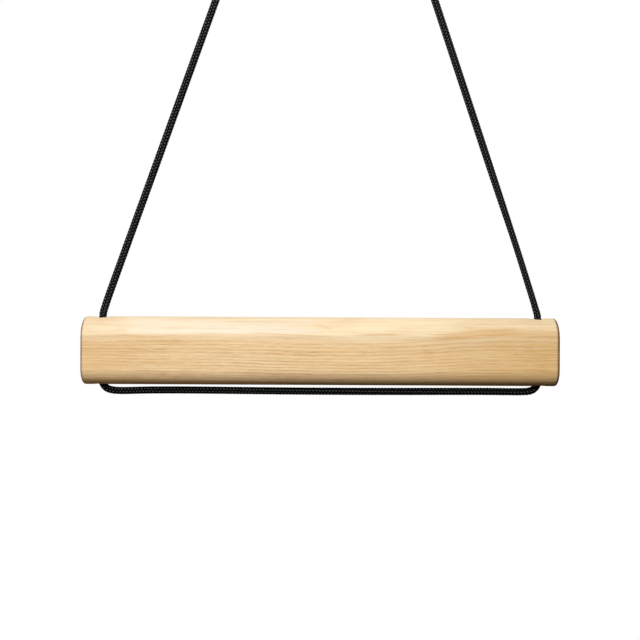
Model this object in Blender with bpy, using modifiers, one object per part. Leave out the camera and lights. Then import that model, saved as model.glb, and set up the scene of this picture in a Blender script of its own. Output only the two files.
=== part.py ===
"""A portable climbing hold: a rounded ash bar with a finger groove routed in its back, hung in one cord.

The cord runs down through a hole near one end of the bar, across underneath and up through the other
hole. Each of its two strands ends above in a knot with an eye. Metres, with +X along the bar, -Y towards
its plain front face and +Z up. The origin is in the plane of the cord, straight above the middle of the
bar and level with the places where the two eyes bear on what holds them.
"""

import math

import bmesh
import bpy
import numpy as np
from mathutils import Matrix, Vector

# Bar
BAR_LENGTH = 0.420
BAR_HEIGHT = 0.0604
BAR_THICKNESS = 0.038
TOP_RADIUS = 0.0185
BOTTOM_RADIUS = 0.015
END_RADIUS = 0.002

# Finger groove in the back of the bar
GROOVE_HEIGHT = 0.020
GROOVE_DEPTH = 0.020
GROOVE_END_WALL = 0.036
GROOVE_LIP_RADIUS = 0.003
GROOVE_FLOOR_RADIUS = 0.003

# Cord holes, with flared mouths. HOLE_PLAY is all round the cord
HOLE_PLAY = 0.001
HOLE_FROM_END = 0.015
MOUTH_RADIUS = 0.005

# Cord
CORD_DIAMETER = 0.006
CLEARANCE = 0.0003
HANG_DROP = 0.372
LEFT_LEAN = math.radians(19.65)
RIGHT_LEAN = math.radians(18.55)
LEFT_RUN_GAP = 0.0029
RIGHT_RUN_GAP = 0.0023
LEVEL_AFTER = 0.014

# The gap under the bar along the run. Places are shares of the way from the bar's middle to a hole
RUN_GAPS = [(-0.80, 0.00245), (-0.30, 0.0025), (0.10, 0.0027), (0.45, 0.0025), (0.80, 0.00225)]

# Knot
KNOT_WRAPS = 3
KNOT_GAP = 0.0007
EYE_WIDTH = 0.018
EYE_LENGTH = 0.046
TAIL_LENGTH = 0.018

# Each strand bends into its mouth: height over the bar, and how far the cord lies inside its straight line
MOUTH_CURVES = {
    -1: [(0.0, 0.0016), (0.0025, 0.0009), (0.007, 0.0004), (0.016, 0.0001), (0.030, 0.0)],
    1: [(0.0, 0.0021), (0.0025, 0.0014), (0.007, 0.0011), (0.015, 0.0008), (0.030, 0.0005), (0.060, 0.0)],
}

# The turn between a cord inside the knot and its wraps: degrees turned, share of the way out, height in wraps
KNOT_TURN = [
    (10.4, 0.06, -0.52),
    (22.1, 0.37, -0.86),
    (43.9, 0.83, -1.10),
    (73.9, 1.12, -1.15),
    (90.6, 1.10, -1.02),
]
WRAP_BASE = -1.094
WRAPS_FROM = math.radians(112)

ASH = (0.77, 0.56, 0.30, 1.0)
BLACK_BRAID = (0.012, 0.012, 0.013, 1.0)

# What follows from those sizes
CORD_RADIUS = CORD_DIAMETER / 2
HOLE_RADIUS = CORD_RADIUS + HOLE_PLAY
HOLE_X = BAR_LENGTH / 2 - HOLE_FROM_END
CORD_X = HOLE_X - (HOLE_PLAY - CLEARANCE)
BAR_TOP = -HANG_DROP
BAR_BOTTOM = BAR_TOP - BAR_HEIGHT
GROOVE_LENGTH = 2 * (HOLE_X - HOLE_RADIUS - GROOVE_END_WALL)
EDGE_ROOM = BAR_HEIGHT - GROOVE_HEIGHT - 2 * (GROOVE_LIP_RADIUS + CLEARANCE)
EDGE_SHARE = min(1.0, EDGE_ROOM / (TOP_RADIUS + BOTTOM_RADIUS))
TOP_EDGE = min(TOP_RADIUS * EDGE_SHARE, BAR_THICKNESS / 2 - CLEARANCE)
BOTTOM_EDGE = min(BOTTOM_RADIUS * EDGE_SHARE, BAR_THICKNESS / 2 - CLEARANCE)
FLAT_TOP = BAR_TOP - TOP_EDGE
FLAT_BOTTOM = BAR_BOTTOM + BOTTOM_EDGE
GROOVE_Z = (FLAT_TOP + FLAT_BOTTOM) / 2
SMALLEST_MERGE = 0.00001


def balance():
    """How far behind the cord's plane the middle of the grooved bar hangs, so that its face hangs upright."""
    corners = (2 - math.pi / 2) * (TOP_EDGE**2 + BOTTOM_EDGE**2)
    blank = (BAR_HEIGHT * BAR_THICKNESS - corners) * BAR_LENGTH
    opening = GROOVE_HEIGHT * (GROOVE_LENGTH - GROOVE_HEIGHT) + math.pi * GROOVE_HEIGHT**2 / 4
    routed = opening * GROOVE_DEPTH
    return routed * (BAR_THICKNESS - GROOVE_DEPTH) / 2 / (blank - routed)


BAR_Y = balance()
BACK = BAR_Y + BAR_THICKNESS / 2


def clear_scene():
    for obj in list(bpy.data.objects):
        bpy.data.objects.remove(obj, do_unlink=True)


def new_collection(name):
    collection = bpy.data.collections.new(name)
    bpy.context.scene.collection.children.link(collection)
    return collection


def new_material(name, colour, roughness):
    material = bpy.data.materials.new(name)
    material.use_nodes = True
    shader = material.node_tree.nodes["Principled BSDF"]
    shader.inputs["Base Color"].default_value = colour
    shader.inputs["Roughness"].default_value = roughness
    shader.inputs["Metallic"].default_value = 0.0
    material.diffuse_color = colour
    return material


def link(name, data, collection, material=None):
    obj = bpy.data.objects.new(name, data)
    collection.objects.link(obj)
    if material:
        data.materials.append(material)
    return obj


def arc(centre, radius, start, end, steps):
    """Points of an arc in degrees, in the plane of an outline."""
    angles = [math.radians(start + (end - start) * i / steps) for i in range(steps + 1)]
    return [(centre[0] + radius * math.cos(a), centre[1] + radius * math.sin(a)) for a in angles]


def outline_curve(name, points, half_thickness, collection):
    """A closed flat outline, extruded both ways along its own Z."""
    curve = bpy.data.curves.new(name, "CURVE")
    curve.dimensions = "2D"
    curve.fill_mode = "BOTH"
    curve.extrude = half_thickness
    spline = curve.splines.new("POLY")
    spline.points.add(len(points) - 1)
    for point, (x, y) in zip(spline.points, points):
        point.co = (x, y, 0.0, 1.0)
    spline.use_cyclic_u = True
    return link(name, curve, collection)


def as_mesh(obj, name, collection, material=None):
    """A mesh object of what the modifiers make, in the place of the object, which is removed."""
    graph = bpy.context.evaluated_depsgraph_get()
    mesh = bpy.data.meshes.new_from_object(obj.evaluated_get(graph))
    mesh.materials.clear()
    mesh.transform(obj.matrix_world)
    shape = bmesh.new()
    shape.from_mesh(mesh)
    bmesh.ops.remove_doubles(shape, verts=shape.verts, dist=SMALLEST_MERGE)
    bmesh.ops.recalc_face_normals(shape, faces=shape.faces)
    shape.to_mesh(mesh)
    shape.free()
    mesh.name = name
    bpy.data.objects.remove(obj, do_unlink=True)
    return link(name, mesh, collection, material)


def bar_section():
    """The bar seen from its end: y across, z up. The top is almost a half round, for the palms."""
    top, bottom = BAR_THICKNESS / 2 - TOP_EDGE, BAR_THICKNESS / 2 - BOTTOM_EDGE
    return (
        arc((BAR_Y + top, FLAT_TOP), TOP_EDGE, 0, 90, 14)
        + arc((BAR_Y - top, FLAT_TOP), TOP_EDGE, 90, 180, 14)
        + arc((BAR_Y - bottom, FLAT_BOTTOM), BOTTOM_EDGE, 180, 270, 10)
        + arc((BAR_Y + bottom, FLAT_BOTTOM), BOTTOM_EDGE, 270, 360, 10)
    )


def bar_blank(parts, material):
    """The section extruded along X, with the edges of both ends rounded over."""
    blank = outline_curve("bar_outline", bar_section(), BAR_LENGTH / 2, parts)
    blank.matrix_world = Matrix(((0, 0, 1, 0), (1, 0, 0, 0), (0, 1, 0, 0), (0, 0, 0, 1)))
    weld = blank.modifiers.new("join_caps", "WELD")
    weld.merge_threshold = SMALLEST_MERGE
    edges = blank.modifiers.new("round_ends", "BEVEL")
    edges.width = END_RADIUS
    edges.segments = 4
    edges.limit_method = "ANGLE"
    edges.angle_limit = math.radians(45)
    bpy.context.view_layer.update()
    return as_mesh(blank, "wooden_bar", parts, material)


def groove_cutter(cutters):
    """A slot with full round ends, drawn in the plane of the back and rounded along its floor."""
    radius = GROOVE_HEIGHT / 2
    reach = GROOVE_LENGTH / 2 - radius
    outline = arc((reach, 0), radius, -90, 90, 16) + arc((-reach, 0), radius, 90, 270, 16)
    past_back = GROOVE_LIP_RADIUS
    slot = outline_curve("groove_outline", outline, (GROOVE_DEPTH + past_back) / 2, cutters)
    middle = BACK + (past_back - GROOVE_DEPTH) / 2
    slot.matrix_world = Matrix.Translation((0, middle, GROOVE_Z)) @ Matrix.Rotation(math.pi / 2, 4, "X")
    weld = slot.modifiers.new("join_caps", "WELD")
    weld.merge_threshold = SMALLEST_MERGE
    edges = slot.modifiers.new("round_floor", "BEVEL")
    edges.width = GROOVE_FLOOR_RADIUS
    edges.segments = 4
    edges.limit_method = "ANGLE"
    edges.angle_limit = math.radians(45)
    bpy.context.view_layer.update()
    return hide_cutter(as_mesh(slot, "groove_cutter", cutters))


def hole_cutter(name, x, cutters):
    """A turned shape that is as wide as the hole inside the bar and flares over both mouths."""
    flare = HOLE_RADIUS + MOUTH_RADIUS
    past = MOUTH_RADIUS
    upper = [(r, z + BAR_TOP - MOUTH_RADIUS) for r, z in arc((flare, 0), MOUTH_RADIUS, 90, 180, 8)]
    lower = [(r, z + BAR_BOTTOM + MOUTH_RADIUS) for r, z in arc((flare, 0), MOUTH_RADIUS, 180, 270, 8)]
    profile = [(0, BAR_TOP + past), (flare, BAR_TOP + past)] + upper
    profile += lower + [(flare, BAR_BOTTOM - past), (0, BAR_BOTTOM - past)]
    mesh = bpy.data.meshes.new(name)
    mesh.from_pydata([(r, 0, z) for r, z in profile], [(i, i + 1) for i in range(len(profile) - 1)], [])
    cutter = link(name, mesh, cutters)
    cutter.location = (x, 0, 0)
    turn = cutter.modifiers.new("turn", "SCREW")
    turn.axis = "Z"
    turn.steps = turn.render_steps = 40
    turn.use_merge_vertices = True
    turn.merge_threshold = SMALLEST_MERGE
    return hide_cutter(cutter)


def hide_cutter(cutter):
    cutter.hide_render = True
    cutter.display_type = "WIRE"
    return cutter


def round_groove_lip(mesh):
    """Rounds the sharp edge that the groove leaves all round its mouth in the flat back."""
    shape = bmesh.new()
    shape.from_mesh(mesh)
    reach = GROOVE_LENGTH / 2 + CLEARANCE
    rim = []
    for edge in shape.edges:
        on_back = all(abs(v.co.y - BACK) < SMALLEST_MERGE for v in edge.verts)
        in_reach = all(abs(v.co.x) < reach and abs(v.co.z - GROOVE_Z) < GROOVE_HEIGHT for v in edge.verts)
        if on_back and in_reach and edge.calc_face_angle(0.0) > math.radians(60):
            rim.append(edge)
    bmesh.ops.bevel(shape, geom=rim, offset=GROOVE_LIP_RADIUS, segments=5, profile=0.5, affect="EDGES")
    shape.to_mesh(mesh)
    shape.free()


def cut(solid, cutter):
    difference = solid.modifiers.new(cutter.name, "BOOLEAN")
    difference.operation = "DIFFERENCE"
    difference.solver = "EXACT"
    difference.object = cutter


def wooden_bar(parts, cutters, material):
    blank = bar_blank(parts, material)
    cut(blank, groove_cutter(cutters))
    bar = as_mesh(blank, "wooden_bar", parts, material)
    round_groove_lip(bar.data)
    for side, sign in (("left", -1), ("right", 1)):
        cut(bar, hole_cutter(f"{side}_hole_cutter", sign * HOLE_X, cutters))
    bar.data.shade_smooth()
    bar.data.set_sharp_from_angle(angle=math.radians(35))


def smooth_route(points, step):
    """A natural cubic spline through the points, read about every step along it."""
    points = np.array(points, float)
    spans = np.linalg.norm(np.diff(points, axis=0), axis=1)
    knots = np.concatenate([[0], np.cumsum(np.sqrt(spans))])
    width = np.diff(knots)
    count = len(points)
    system = np.identity(count)
    bends = np.zeros((count, 3))
    slopes = np.diff(points, axis=0) / width[:, None]
    for i in range(1, count - 1):
        system[i, i - 1 : i + 2] = width[i - 1], 2 * (width[i - 1] + width[i]), width[i]
        bends[i] = 6 * (slopes[i] - slopes[i - 1])
    second = np.linalg.solve(system, bends)
    places = [points[0]]
    for i in range(count - 1):
        pieces = max(1, round(spans[i] / step))
        for share in np.arange(1, pieces + 1) / pieces:
            rest = 1 - share
            bow = second[i] * (rest**3 - rest) + second[i + 1] * (share**3 - share)
            places.append(rest * points[i] + share * points[i + 1] + bow * width[i] ** 2 / 6)
    return [Vector(place) for place in places]


def rounded_start(points):
    """The points with a ball's outline before the first one, and each point's share of the cord's radius."""
    along = (points[0] - points[1]).normalized()
    turns = [math.radians(angle) for angle in (84, 66, 44, 22)]
    ball = [points[0] + along * CORD_RADIUS * math.sin(turn) for turn in turns]
    return ball + points, [math.cos(turn) for turn in turns] + [1.0] * len(points)


def tube(name, points, parts, material, scales=None, resolution=4):
    """A round cord along the points, with a cap at each end. scales are shares of its radius."""
    curve = bpy.data.curves.new(name, "CURVE")
    curve.dimensions = "3D"
    curve.bevel_depth = CORD_RADIUS
    curve.bevel_resolution = resolution
    curve.use_fill_caps = True
    spline = curve.splines.new("POLY")
    spline.points.add(len(points) - 1)
    for point, place, scale in zip(spline.points, points, scales or [1.0] * len(points)):
        point.co = (*place, 1.0)
        point.radius = scale
    return link(name, curve, parts, material)


def strand_frame(side, lean):
    """The foot of a strand's straight line, level with the top of the bar, and its directions.

    side is -1 for the left strand and 1 for the right one. The directions are up along the strand,
    across it in the plane of the cord, and out of that plane.
    """
    foot = Vector((side * (CORD_X + MOUTH_CURVES[side][0][1]), 0, BAR_TOP))
    up = Vector((-side * math.sin(lean), 0, math.cos(lean)))
    out = Vector((0, 1, 0))
    return foot, up, out.cross(up), out


def knot_heights():
    """Heights in the knot: where it meets the strand, its upper end, where its legs part, where it bears."""
    wrap = CORD_DIAMETER + KNOT_GAP
    rise = wrap * (KNOT_WRAPS + 1 / 3) + 2 * WRAP_BASE * wrap
    legs = rise + CORD_DIAMETER
    return -TAIL_LENGTH, rise, legs, legs + EYE_LENGTH - CORD_RADIUS


def strand(name, side, lean, parts, material):
    """A straight stretch of cord. Its foot is a ball in the mouth of the hole, round which the bar rocks."""
    foot, up, _, _ = strand_frame(side, lean)
    seam, _, _, bearing = knot_heights()
    length = HANG_DROP / math.cos(lean) - (bearing - seam) - CLEARANCE
    mouth = MOUTH_CURVES[side]
    route = [foot + up * (height / up.z) + Vector((-side * inset, 0, 0)) for height, inset in mouth]
    route += [foot + up * (length * share) for share in (0.4, 0.6, 0.8, 1.0)]
    points, scales = rounded_start(smooth_route(route, 3 * CORD_DIAMETER))
    return tube(name, points, parts, material, scales)


def run_end(side, gap):
    """The cord from the top of a hole down through it, round its lower lip and on to the level run."""
    top = BAR_TOP - CORD_RADIUS - CLEARANCE
    lip = Vector((CORD_X - CORD_RADIUS - CLEARANCE - MOUTH_RADIUS, 0, BAR_BOTTOM + MOUTH_RADIUS))
    close = MOUTH_RADIUS + CLEARANCE + CORD_RADIUS
    slack = gap - CLEARANCE
    points = [Vector((CORD_X, 0, height)) for height in (top, (top + lip.z) / 2, lip.z + CORD_RADIUS)]
    for degrees in (12, 29, 46, 63, 80):
        radius = close + slack * 0.6 * degrees / 90
        turn = math.radians(degrees)
        points.append(lip + radius * Vector((math.cos(turn), 0, -math.sin(turn))))
    points.append(Vector((CORD_X - LEVEL_AFTER, 0, BAR_BOTTOM - CORD_RADIUS - gap)))
    return [Vector((side * point.x, 0, point.z)) for point in points]


def lower_run(parts, material):
    """The cord that the bar holds: down one hole, across underneath and up the other."""
    left, right = run_end(-1, LEFT_RUN_GAP), run_end(1, RIGHT_RUN_GAP)
    across = [Vector((share * CORD_X, 0, BAR_BOTTOM - CORD_RADIUS - gap)) for share, gap in RUN_GAPS]
    route = smooth_route(left + across + right[::-1], 2.5 * CORD_DIAMETER)
    return tube("cord_lower_run", route, parts, material)


def knot_route():
    """The cord from the strand up through the wraps, round the eye, back down, up again in wraps, and out.

    Inside the wraps three cords lie in a triangle: the strand at (0, 0), the eye's other leg at
    (wrap, 0) and the tail. x is across the strand, y out of its plane and z up along it.
    """
    wrap = CORD_DIAMETER + KNOT_GAP
    inner = wrap / math.sqrt(3)
    seam, rise, legs, _ = knot_heights()
    leg_angle, tail_angle = -math.pi / 6, math.pi / 2
    turned = 2 * math.pi * KNOT_WRAPS + tail_angle - leg_angle

    def wrap_radius(angle):
        """Out to the wraps: wider over the three inner cords, narrower between them."""
        near, far = wrap + inner / 2, wrap + inner
        return (near + far) / 2 + (far - near) / 2 * math.cos(3 * (angle - tail_angle))

    def place(angle, radius, height):
        return (wrap / 2 + radius * math.cos(angle), inner / 2 + radius * math.sin(angle), height)

    def turn(start, direction, height_of):
        places = []
        for degrees, share, height in KNOT_TURN:
            angle = start + direction * math.radians(degrees)
            radius = inner + (wrap_radius(angle) - inner) * share
            places.append(place(angle, radius, height_of(height * wrap)))
        return places

    strand_up = [(0, 0, height) for height in np.linspace(seam, legs, 5)]
    half = (EYE_WIDTH + CORD_DIAMETER) / 2
    middle = wrap / 2
    eye_shape = [(0.34, 0.13), (0.60, 0.34), (0.86, 0.56), (1.0, 0.74), (0.72, 0.92), (0.0, 1.0)]
    rising = [(middle - max(half * out, middle), 0, legs + EYE_LENGTH * up) for out, up in eye_shape[:-1]]
    top = [(middle, 0, legs + EYE_LENGTH)]
    falling = [(2 * middle - x, y, z) for x, y, z in reversed(rising)]
    leg_down = [(wrap, 0, height) for height in np.linspace(legs, 0, 4)]
    steps = round((turned - 2 * WRAPS_FROM) / math.radians(15))
    coil = []
    for i in range(steps + 1):
        angle = WRAPS_FROM + (turned - 2 * WRAPS_FROM) * i / steps
        height = wrap * (WRAP_BASE + angle / (2 * math.pi))
        coil.append(place(leg_angle + angle, wrap_radius(leg_angle + angle), height))
    turn_out = turn(leg_angle, 1, lambda height: height)
    turn_in = turn(leg_angle + turned, -1, lambda height: rise - height)[::-1]
    tail_x, tail_y, _ = place(tail_angle, inner, 0)
    tail = [(tail_x, tail_y, height) for height in np.linspace(rise, -CORD_DIAMETER, 4)]
    for share, splay in ((0.55, 0.0006), (0.8, 0.0019), (1.05, 0.0038)):
        tail.append((tail_x + splay / 2, tail_y + splay, -CORD_DIAMETER - TAIL_LENGTH * share))
    return strand_up + rising + top + falling + leg_down + turn_out + coil + turn_in + tail


def least_gap(points, skip):
    """The least clear distance between stretches of one cord that lie more than skip apart along it."""
    places = np.array(smooth_route(points, 0.0008))
    along = np.concatenate([[0], np.cumsum(np.linalg.norm(np.diff(places, axis=0), axis=1))])
    apart = np.linalg.norm(places[:, None] - places[None], axis=2)
    apart[np.abs(along[:, None] - along[None]) < skip] = np.inf
    return apart.min() - CORD_DIAMETER, along[-1]


def knot(name, side, lean, parts, material):
    """A strand's end, tied: wraps round the strand, the eye's other leg and the tail."""
    foot, up, across, out = strand_frame(side, lean)
    _, _, _, bearing = knot_heights()
    zero = foot + up * (HANG_DROP / math.cos(lean) - bearing)
    gap, length = least_gap(knot_route(), 2.5 * CORD_DIAMETER)
    print(f"{name}: {length * 1000:.0f} mm of cord, least gap to itself {gap * 1000:.2f} mm")
    route = smooth_route(knot_route()[::-1], 0.7 * CORD_DIAMETER)
    points, scales = rounded_start([zero + across * x + out * y + up * z for x, y, z in route])
    return tube(name, points, parts, material, scales, resolution=2)


def build():
    clear_scene()
    parts = new_collection("climbing_hold")
    cutters = new_collection("cutters")
    wood = new_material("ash", ASH, 0.5)
    braid = new_material("black_braid", BLACK_BRAID, 0.75)
    wooden_bar(parts, cutters, wood)
    lower_run(parts, braid)
    for side, sign, lean in (("left", -1, LEFT_LEAN), ("right", 1, RIGHT_LEAN)):
        strand(f"cord_{side}_strand", sign, lean, parts, braid)
        knot(f"cord_{side}_knot", sign, lean, parts, braid)


build()
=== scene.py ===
"""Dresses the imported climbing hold: an oiled ash bar and a black braided cord, in a white studio."""

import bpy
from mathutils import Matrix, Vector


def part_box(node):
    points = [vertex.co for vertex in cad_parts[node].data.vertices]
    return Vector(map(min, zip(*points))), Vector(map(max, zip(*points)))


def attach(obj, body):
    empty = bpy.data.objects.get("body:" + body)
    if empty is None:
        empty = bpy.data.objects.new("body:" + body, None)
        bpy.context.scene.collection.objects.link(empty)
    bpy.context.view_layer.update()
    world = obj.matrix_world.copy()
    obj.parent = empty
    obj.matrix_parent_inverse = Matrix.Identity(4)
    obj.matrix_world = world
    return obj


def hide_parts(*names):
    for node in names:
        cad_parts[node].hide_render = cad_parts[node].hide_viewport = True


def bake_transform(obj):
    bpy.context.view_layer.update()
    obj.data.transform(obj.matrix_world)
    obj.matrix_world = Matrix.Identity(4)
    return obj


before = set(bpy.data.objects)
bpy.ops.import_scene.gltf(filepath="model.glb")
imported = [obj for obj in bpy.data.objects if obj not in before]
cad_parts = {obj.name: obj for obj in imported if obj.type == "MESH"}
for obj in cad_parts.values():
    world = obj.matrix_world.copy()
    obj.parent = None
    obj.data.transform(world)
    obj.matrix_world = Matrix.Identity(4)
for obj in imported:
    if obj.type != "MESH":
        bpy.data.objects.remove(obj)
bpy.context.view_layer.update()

import math

import bmesh
import bpy
import numpy as np
from mathutils import Vector

# The bar, in metres
BAR_LENGTH = 0.420
BAR_HEIGHT = 0.0604
BAR_THICKNESS = 0.038
TOP_RADIUS = 0.0185
BOTTOM_RADIUS = 0.015
END_RADIUS = 0.002
GROOVE_LENGTH = 0.310
GROOVE_HEIGHT = 0.020
GROOVE_DEPTH = 0.020
GROOVE_LIP_RADIUS = 0.003
GROOVE_FLOOR_RADIUS = 0.003
HOLE_RADIUS = 0.004
HOLE_X = 0.195
MOUTH_RADIUS = 0.005

# The sanding of the cut edges: its width in metres, its steps, and how sharp an edge has to be
SANDED_WIDTH = 0.0007
SANDED_STEPS = 3
SANDED_ANGLE = math.radians(28)

# How much the bar's larger faces outweigh its smaller ones in the shading, from 1 to 100
SHADING_WEIGHT = 80

# How finely the bar is drawn: steps round each rounding and across each flat, and metres along it
TOP_STEPS = 22
BOTTOM_STEPS = 16
FLAT_STEPS = 24
END_STEPS = 8
LIP_STEPS = 8
FLOOR_STEPS = 6
GROOVE_END_STEPS = 24
MOUTH_STEPS = 10
HOLE_SIDES = 64
LENGTH_STEP = 0.003

# The cord, in metres. CLEARANCE lies between it and what it bears on
CORD_DIAMETER = 0.006
CORD_RADIUS = CORD_DIAMETER / 2
CLEARANCE = 0.0003

# Where a strand passes the bar's top, and how far that is under the line that the eyes hang from
CORD_X = 0.1943
HANG_DROP = 0.372

# How far each strand leans in. The left side is -1 and the right side 1
LEANS = {-1: math.radians(19.65), 1: math.radians(18.55)}

# How far each strand stands in from its straight line, by height above the bar's top
MOUTH_CURVES = {
    -1: [(0.0, 0.0016), (0.0025, 0.0009), (0.007, 0.0004), (0.016, 0.0001), (0.030, 0.0)],
    1: [(0.0, 0.0021), (0.0025, 0.0014), (0.007, 0.0011), (0.015, 0.0008), (0.030, 0.0005), (0.060, 0.0)],
}

# The points of a strand's straight stretch, as shares of the way from the bar's top to the knot
STRAIGHT_SHARES = (0.4, 0.6, 0.8)

# Depths below the bar's top: where a strand meets the run inside its hole, and its next two points above
SEAM_DEPTH = 0.012
HOLE_DEPTHS = (SEAM_DEPTH, 0.007, 0.003)

# The run's gap under the bar: by share of CORD_X, then at each side, LEVEL_AFTER in from CORD_X
RUN_GAPS = [(-0.80, 0.00245), (-0.30, 0.0025), (0.10, 0.0027), (0.45, 0.0025), (0.80, 0.00225)]
RUN_END_GAPS = {-1: 0.0029, 1: 0.0023}
LEVEL_AFTER = 0.014

# The run's points round a hole's lower lip, in degrees, and the share of the side's gap that opens there
LIP_ANGLES = (12, 29, 46, 63, 80)
LIP_SLACK_SHARE = 0.6

# The knot: its wraps, the eye above it and the tail below
KNOT_WRAPS = 3
KNOT_GAP = 0.0007
EYE_WIDTH = 0.018
EYE_LENGTH = 0.046
TAIL_LENGTH = 0.018

# Where the leg and the tail lie round the knot
LEG_ANGLE, TAIL_ANGLE = -math.pi / 6, math.pi / 2

# The wraps' helix: its height in wraps if it began at the leg, where it is followed from, and its step
WRAP_BASE = -1.094
WRAPS_FROM = math.radians(112)
WRAP_STEP = math.radians(15)

# The turn from a leg into the wraps: degrees round the knot, share of the way out to them, height in wraps
KNOT_TURN = [
    (10.4, 0.06, -0.52),
    (22.1, 0.37, -0.86),
    (43.9, 0.83, -1.10),
    (73.9, 1.12, -1.15),
    (90.6, 1.10, -1.02),
]

# One side of the eye, as shares of its half width and of its length
EYE_SHAPE = [(0.34, 0.13), (0.60, 0.34), (0.86, 0.56), (1.0, 0.74), (0.72, 0.92)]

# How many points the knot's straight stretches have: the strand up through it, and a leg or the tail down
CORE_POINTS = 5
LEG_POINTS = 4

# How far the tail splays out, in metres, by share of its length
TAIL_SPLAY = [(0.55, 0.0006), (0.8, 0.0019), (1.05, 0.0038)]

# Places in the frame
BAR_TOP = -HANG_DROP
BAR_BOTTOM = BAR_TOP - BAR_HEIGHT
BAR_Z = (BAR_TOP + BAR_BOTTOM) / 2
FLAT_TOP = BAR_TOP - TOP_RADIUS
FLAT_BOTTOM = BAR_BOTTOM + BOTTOM_RADIUS
GROOVE_Z = (FLAT_TOP + FLAT_BOTTOM) / 2
bar_low, bar_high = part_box("wooden_bar")
FRONT, BACK = bar_low.y, bar_high.y
BAR_Y = (FRONT + BACK) / 2

# The photograph, in pixels: its side, the bar's width and the bar's middle
PHOTO = 640
BAR_PIXELS = 479.33
BAR_MIDDLE_PIXEL = (320.1, 351.7)

# How far the bar is turned clockwise in it, and the camera's distance in metres and sensor in millimetres
BAR_TURN = math.radians(0.28)
CAMERA_DISTANCE = 0.76
SENSOR_WIDTH = 36.0

# The braid: carriers each way round, mesh steps across a yarn, and steps until the weave repeats
CARRIERS = 8
STEPS = 6
SIDES = CARRIERS * STEPS
REPEAT = 4 * STEPS

# The braid, in metres: one repeat along the cord, the depth between yarns, and the step for a route's curve
BRAID_PITCH = 0.00294
BRAID_DEPTH = 0.0006
FINE_STEP = 0.0004

# Where the pattern starts round the cord
PATTERN_START = math.radians(11.25)

# How high a yarn stands where it dives under, as a share of its crown, and how its float swells between
DIVE_HEIGHT = 0.35
FLOAT_POWER = 0.7

# The cut end's melted round: mesh steps from its tip to the first ring, and its reach in radii
SEAL_START = 0.35
SEAL_REACH = 1.1

# The radius over the yarns: on the run, and by height above the bar's top. The right strand narrows there
RUN_CROWN = 0.0034
STRAND_CROWN = 0.00335
CROWNS = {
    -1: [(-SEAM_DEPTH, STRAND_CROWN), (0.0, 0.00345), (0.29, 0.00345), (0.31, STRAND_CROWN)],
    1: [
        (-SEAM_DEPTH, STRAND_CROWN),
        (0.0, 0.0033),
        (0.006, 0.00315),
        (0.015, 0.0030),
        (0.075, 0.00297),
        (0.112, 0.00325),
        (0.15, 0.00342),
        (0.29, 0.00342),
        (0.31, STRAND_CROWN),
    ],
}

# The pattern's turn round the left strand, in degrees, by height above the bar's top
LEFT_TURNS = [(-SEAM_DEPTH, -12), (0.0, 5), (0.3, -4)]

# The pattern's turn round the run by share of its length, and round the right strand from seam to tail
RUN_TURNS = [(0.0, -12), (0.3, -4), (0.45, 6), (0.75, 30), (1.0, 24)]
RIGHT_TURNS = (24, 0)

# The rings, in mm: the pith's height over the face's middle, its depths at left and right, a ring's width
PITH_HEIGHT = 20.6
PITH_DEPTHS = (14.3, 17.4)
RING_WIDTH = 2.45

# How dark the wood is, by share of a year's ring
LATEWOOD_SHARES = [(0.0, 1.0), (0.12, 0.9), (0.34, 0.25), (0.6, 0.0), (0.9, 0.1), (1.0, 1.0)]

# The face's colour by share of the bar's length, as a picture's values
BASE_COLOURS = [
    (0.0, (227, 191, 138)),
    (0.30, (245, 213, 163)),
    (0.62, (250, 215, 162)),
    (1.0, (232, 191, 127)),
]

# The same for the pale band above, partly paler wood and partly a painted sheen on the top rounding
PALE_COLOURS = [
    (0.0, (241, 221, 190)),
    (0.25, (235, 213, 177)),
    (0.58, (247, 227, 190)),
    (1.0, (239, 219, 180)),
]

# Streaks, in mm from the face's middle: first and last x, height at each, half thickness, run-out of the ends
CREAM_BAND = (-166, -4, 21.0, 20.8, 6.6, 9.0)
NOTCH = (-24, 12, 22.0, 22.5, 1.6, 5.0)

# Streaks in other colours, each with its strength in front
LOW_STREAKS = [(0.35, -110, -36, -6.0, -10.0, 9.0, 9.0)]
TAN_STREAKS = [
    (0.55, -174, -142, 13.2, 12.4, 1.0, 9.0),
    (0.30, -137, -115, 7.4, 6.6, 1.8, 9.0),
    (0.40, -84, -34, 25.8, 26.4, 0.6, 9.0),
    (0.45, -60, 14, 16.4, 12.6, 0.7, 9.0),
    (0.40, 1, 7, 22.0, 21.6, 2.6, 3.0),
    (0.50, 44, 74, 15.2, 15.0, 0.9, 9.0),
    (0.80, 106, 170, 13.4, 18.0, 3.4, 12.0),
    (0.60, 134, 226, 18.6, 15.0, 3.8, 14.0),
    (0.30, 180, 200, -15.0, -16.0, 2.2, 9.0),
    (0.30, 60, 84, 18.4, 18.6, 0.8, 4.0),
]
PALE_STREAKS = [(0.85, 2, 62, 13.0, 12.2, 1.5, 9.0), (0.50, 116, 152, 8.9, 9.6, 0.8, 9.0)]
# The first bright streak is painted light along the top of the lower rounding, where the shading falls off
BRIGHT_STREAKS = [(0.35, -200, 110, -18.4, -18.8, 5.0, 30.0), (0.30, 70, 150, 4.6, 5.4, 2.0, 9.0)]

WHITE = (1.0, 1.0, 1.0)

# Softboxes: azimuth rightwards from the front, elevation, distance, width, height, power in watts, colour
SOFTBOXES = {
    "key_light": (-14, 35, 1.6, 0.9, 0.45, 30.5, WHITE),
    "fill_light": (-42, -34, 0.8, 0.3, 0.3, 0.75, (1.0, 0.8, 0.6)),
    "top_light": (176, 62, 1.2, 1.4, 0.7, 4, WHITE),
    "left_light": (-130, 14, 1.6, 1.0, 0.8, 13, WHITE),
    "right_light": (130, 14, 1.6, 1.0, 0.8, 13, WHITE),
    # Its negative distance hangs it under the bar, where it shines down on the floor alone
    "floor_light": (0, 90, -0.3, 4.0, 4.0, 41, WHITE),
}

# How strongly the background lights the scene. The camera sees it at 1
BACKGROUND_LIGHT = 0.008

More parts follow.
